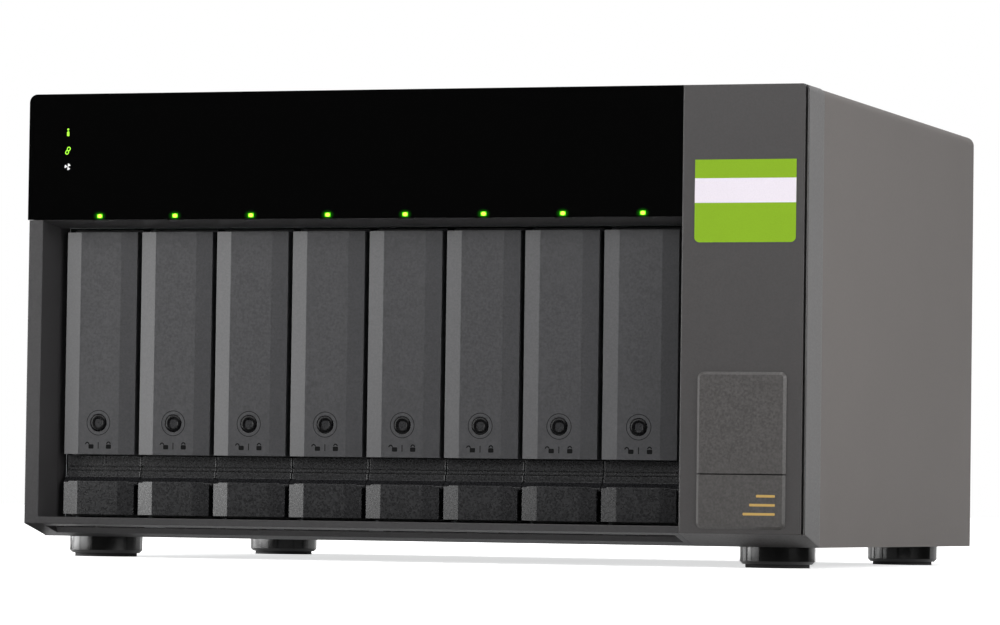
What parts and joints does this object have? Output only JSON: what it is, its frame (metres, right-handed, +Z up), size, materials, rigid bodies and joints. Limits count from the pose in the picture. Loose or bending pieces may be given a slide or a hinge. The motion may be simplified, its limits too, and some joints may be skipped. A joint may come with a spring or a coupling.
{
  "type": "disk shelf enclosure",
  "caption": "Desktop disk shelf enclosure: a steel box with a row of lockable pull-out drive trays under a gloss black panel, and a column with plates at the right.",
  "frame": {"origin": "centre of the footprint, on the surface that the rubber pads stand on", "axes": "+Z up, the front with the trays faces -Y, +X to the right of a person facing the front"},
  "size_m": [0.3292, 0.2796, 0.1882],
  "materials": {
    "bezel_plastic": "fine moulded grain",
    "gloss_panel": "polished black",
    "light_lens": "clear lens lit green",
    "column_plastic": "fine moulded grain",
    "plate_plastic": "fine moulded grain",
    "cover_paint": "fine powder coat",
    "pan_steel": "black powder coat",
    "cage_steel": "zinc plated",
    "circuit_board": "green solder mask",
    "connector_plastic": "plain moulded",
    "socket_steel": "nickel plated",
    "rear_paint": "black powder coat",
    "supply_steel": "galvanised",
    "inlet_plastic": "plain moulded",
    "foot_gloss": "polished black",
    "foot_rubber": "plain",
    "fan_plastic": "plain moulded",
    "guard_wire": "bright plated",
    "rotor_plastic": "plain moulded",
    "button_plastic": "plain moulded",
    "carrier_plastic": "plain moulded",
    "handle_plastic": "fine moulded grain",
    "latch_plastic": "fine moulded grain",
    "lock_metal": "black"
  },
  "bodies": {
    "case": {"front_bezel": "bezel_plastic", "display_panel": "gloss_panel", "drive_lights": "light_lens", "right_column": "column_plastic", "blank_cover": "plate_plastic", "name_plate": "plate_plastic", "metal_cover": "cover_paint", "base_pan": "pan_steel", "drive_cage": "cage_steel", "cage_roof": "cage_steel", "backplane": "circuit_board", "drive_connectors": "connector_plastic", "controller_board": "circuit_board", "data_socket": "socket_steel", "rear_panel": "rear_paint", "power_supply": "supply_steel", "power_inlet": "inlet_plastic", "feet": "foot_gloss", "foot_pads": "foot_rubber", "fan_frames": "fan_plastic", "fan_guards": "guard_wire"},
    "fan_left": {"fan_rotor_left": "rotor_plastic"},
    "fan_right": {"fan_rotor_right": "rotor_plastic"},
    "supply_fan": {"supply_fan_rotor": "rotor_plastic"},
    "power_button": {"power_button": "button_plastic"},
    "fan_switch": {"fan_switch": "button_plastic"},
    "tray_1": {"tray_carrier_1": "carrier_plastic"},
    "handle_1": {"tray_handle_1": "handle_plastic"},
    "latch_1": {"tray_latch_1": "latch_plastic"},
    "lock_1": {"tray_lock_1": "lock_metal"},
    "tray_2": {"tray_carrier_2": "carrier_plastic"},
    "handle_2": {"tray_handle_2": "handle_plastic"},
    "latch_2": {"tray_latch_2": "latch_plastic"},
    "lock_2": {"tray_lock_2": "lock_metal"},
    "tray_3": {"tray_carrier_3": "carrier_plastic"},
    "handle_3": {"tray_handle_3": "handle_plastic"},
    "latch_3": {"tray_latch_3": "latch_plastic"},
    "lock_3": {"tray_lock_3": "lock_metal"},
    "tray_4": {"tray_carrier_4": "carrier_plastic"},
    "handle_4": {"tray_handle_4": "handle_plastic"},
    "latch_4": {"tray_latch_4": "latch_plastic"},
    "lock_4": {"tray_lock_4": "lock_metal"},
    "tray_5": {"tray_carrier_5": "carrier_plastic"},
    "handle_5": {"tray_handle_5": "handle_plastic"},
    "latch_5": {"tray_latch_5": "latch_plastic"},
    "lock_5": {"tray_lock_5": "lock_metal"},
    "tray_6": {"tray_carrier_6": "carrier_plastic"},
    "handle_6": {"tray_handle_6": "handle_plastic"},
    "latch_6": {"tray_latch_6": "latch_plastic"},
    "lock_6": {"tray_lock_6": "lock_metal"},
    "tray_7": {"tray_carrier_7": "carrier_plastic"},
    "handle_7": {"tray_handle_7": "handle_plastic"},
    "latch_7": {"tray_latch_7": "latch_plastic"},
    "lock_7": {"tray_lock_7": "lock_metal"},
    "tray_8": {"tray_carrier_8": "carrier_plastic"},
    "handle_8": {"tray_handle_8": "handle_plastic"},
    "latch_8": {"tray_latch_8": "latch_plastic"},
    "lock_8": {"tray_lock_8": "lock_metal"}
  },
  "joints": [
    {"name": "fan_spin_left", "type": "hinge", "parent": "case", "child": "fan_left", "pos_m": [-0.08505, 0.1247, 0.075], "axis": [0, 1, 0], "continuous": true},
    {"name": "fan_spin_right", "type": "hinge", "parent": "case", "child": "fan_right", "pos_m": [0.04095, 0.1247, 0.075], "axis": [0, 1, 0], "continuous": true},
    {"name": "supply_fan_spin", "type": "hinge", "parent": "case", "child": "supply_fan", "pos_m": [0.13922, 0.1312, 0.064], "axis": [0, 1, 0], "continuous": true},
    {"name": "power_button_push", "type": "slide", "parent": "case", "child": "power_button", "axis": [0, -1, 0], "range_m": [0, 0.0012], "stiffness_N_per_m": 400, "springref_m": -0.002},
    {"name": "fan_switch_slide", "type": "slide", "parent": "case", "child": "fan_switch", "axis": [1, 0, 0], "range_m": [-0.0025, 0.0025]},
    {"name": "tray_slide_1", "type": "slide", "parent": "case", "child": "tray_1", "axis": [0, -1, 0], "range_m": [0, 0.15]},
    {"name": "handle_swing_1", "type": "hinge", "parent": "tray_1", "child": "handle_1", "pos_m": [-0.13731, -0.1208, 0.1295], "axis": [-1, 0, 0], "range_deg": [0, 40]},
    {"name": "latch_rock_1", "type": "hinge", "parent": "tray_1", "child": "latch_1", "pos_m": [-0.13731, -0.1204, 0.0218], "axis": [1, 0, 0], "range_deg": [0, 5], "stiffness_Nm_per_rad": 0.02, "springref_deg": -8.59},
    {"name": "lock_turn_1", "type": "hinge", "parent": "handle_1", "child": "lock_1", "pos_m": [-0.13731, -0.1257, 0.0546], "axis": [0, 1, 0], "range_deg": [0, 90]},
    {"name": "tray_slide_2", "type": "slide", "parent": "case", "child": "tray_2", "axis": [0, -1, 0], "range_m": [0, 0.15]},
    {"name": "handle_swing_2", "type": "hinge", "parent": "tray_2", "child": "handle_2", "pos_m": [-0.10437, -0.1208, 0.1295], "axis": [-1, 0, 0], "range_deg": [0, 40]},
    {"name": "latch_rock_2", "type": "hinge", "parent": "tray_2", "child": "latch_2", "pos_m": [-0.10437, -0.1204, 0.0218], "axis": [1, 0, 0], "range_deg": [0, 5], "stiffness_Nm_per_rad": 0.02, "springref_deg": -8.59},
    {"name": "lock_turn_2", "type": "hinge", "parent": "handle_2", "child": "lock_2", "pos_m": [-0.10437, -0.1257, 0.0546], "axis": [0, 1, 0], "range_deg": [0, 90]},
    {"name": "tray_slide_3", "type": "slide", "parent": "case", "child": "tray_3", "axis": [0, -1, 0], "range_m": [0, 0.15]},
    {"name": "handle_swing_3", "type": "hinge", "parent": "tray_3", "child": "handle_3", "pos_m": [-0.07144, -0.1208, 0.1295], "axis": [-1, 0, 0], "range_deg": [0, 40]},
    {"name": "latch_rock_3", "type": "hinge", "parent": "tray_3", "child": "latch_3", "pos_m": [-0.07144, -0.1204, 0.0218], "axis": [1, 0, 0], "range_deg": [0, 5], "stiffness_Nm_per_rad": 0.02, "springref_deg": -8.59},
    {"name": "lock_turn_3", "type": "hinge", "parent": "handle_3", "child": "lock_3", "pos_m": [-0.07144, -0.1257, 0.0546], "axis": [0, 1, 0], "range_deg": [0, 90]},
    {"name": "tray_slide_4", "type": "slide", "parent": "case", "child": "tray_4", "axis": [0, -1, 0], "range_m": [0, 0.15]},
    {"name": "handle_swing_4", "type": "hinge", "parent": "tray_4", "child": "handle_4", "pos_m": [-0.03852, -0.1208, 0.1295], "axis": [-1, 0, 0], "range_deg": [0, 40]},
    {"name": "latch_rock_4", "type": "hinge", "parent": "tray_4", "child": "latch_4", "pos_m": [-0.03852, -0.1204, 0.0218], "axis": [1, 0, 0], "range_deg": [0, 5], "stiffness_Nm_per_rad": 0.02, "springref_deg": -8.59},
    {"name": "lock_turn_4", "type": "hinge", "parent": "handle_4", "child": "lock_4", "pos_m": [-0.03852, -0.1257, 0.0546], "axis": [0, 1, 0], "range_deg": [0, 90]},
    {"name": "tray_slide_5", "type": "slide", "parent": "case", "child": "tray_5", "axis": [0, -1, 0], "range_m": [0, 0.15]},
    {"name": "handle_swing_5", "type": "hinge", "parent": "tray_5", "child": "handle_5", "pos_m": [-0.00558, -0.1208, 0.1295], "axis": [-1, 0, 0], "range_deg": [0, 40]},
    {"name": "latch_rock_5", "type": "hinge", "parent": "tray_5", "child": "latch_5", "pos_m": [-0.00558, -0.1204, 0.0218], "axis": [1, 0, 0], "range_deg": [0, 5], "stiffness_Nm_per_rad": 0.02, "springref_deg": -8.59},
    {"name": "lock_turn_5", "type": "hinge", "parent": "handle_5", "child": "lock_5", "pos_m": [-0.00558, -0.1257, 0.0546], "axis": [0, 1, 0], "range_deg": [0, 90]},
    {"name": "tray_slide_6", "type": "slide", "parent": "case", "child": "tray_6", "axis": [0, -1, 0], "range_m": [0, 0.15]},
    {"name": "handle_swing_6", "type": "hinge", "parent": "tray_6", "child": "handle_6", "pos_m": [0.02735, -0.1208, 0.1295], "axis": [-1, 0, 0], "range_deg": [0, 40]},
    {"name": "latch_rock_6", "type": "hinge", "parent": "tray_6", "child": "latch_6", "pos_m": [0.02735, -0.1204, 0.0218], "axis": [1, 0, 0], "range_deg": [0, 5], "stiffness_Nm_per_rad": 0.02, "springref_deg": -8.59},
    {"name": "lock_turn_6", "type": "hinge", "parent": "handle_6", "child": "lock_6", "pos_m": [0.02735, -0.1257, 0.0546], "axis": [0, 1, 0], "range_deg": [0, 90]},
    {"name": "tray_slide_7", "type": "slide", "parent": "case", "child": "tray_7", "axis": [0, -1, 0], "range_m": [0, 0.15]},
    {"name": "handle_swing_7", "type": "hinge", "parent": "tray_7", "child": "handle_7", "pos_m": [0.06028, -0.1208, 0.1295], "axis": [-1, 0, 0], "range_deg": [0, 40]},
    {"name": "latch_rock_7", "type": "hinge", "parent": "tray_7", "child": "latch_7", "pos_m": [0.06028, -0.1204, 0.0218], "axis": [1, 0, 0], "range_deg": [0, 5], "stiffness_Nm_per_rad": 0.02, "springref_deg": -8.59},
    {"name": "lock_turn_7", "type": "hinge", "parent": "handle_7", "child": "lock_7", "pos_m": [0.06028, -0.1257, 0.0546], "axis": [0, 1, 0], "range_deg": [0, 90]},
    {"name": "tray_slide_8", "type": "slide", "parent": "case", "child": "tray_8", "axis": [0, -1, 0], "range_m": [0, 0.15]},
    {"name": "handle_swing_8", "type": "hinge", "parent": "tray_8", "child": "handle_8", "pos_m": [0.0932, -0.1208, 0.1295], "axis": [-1, 0, 0], "range_deg": [0, 40]},
    {"name": "latch_rock_8", "type": "hinge", "parent": "tray_8", "child": "latch_8", "pos_m": [0.0932, -0.1204, 0.0218], "axis": [1, 0, 0], "range_deg": [0, 5], "stiffness_Nm_per_rad": 0.02, "springref_deg": -8.59},
    {"name": "lock_turn_8", "type": "hinge", "parent": "handle_8", "child": "lock_8", "pos_m": [0.0932, -0.1257, 0.0546], "axis": [0, 1, 0], "range_deg": [0, 90]}
  ]
}
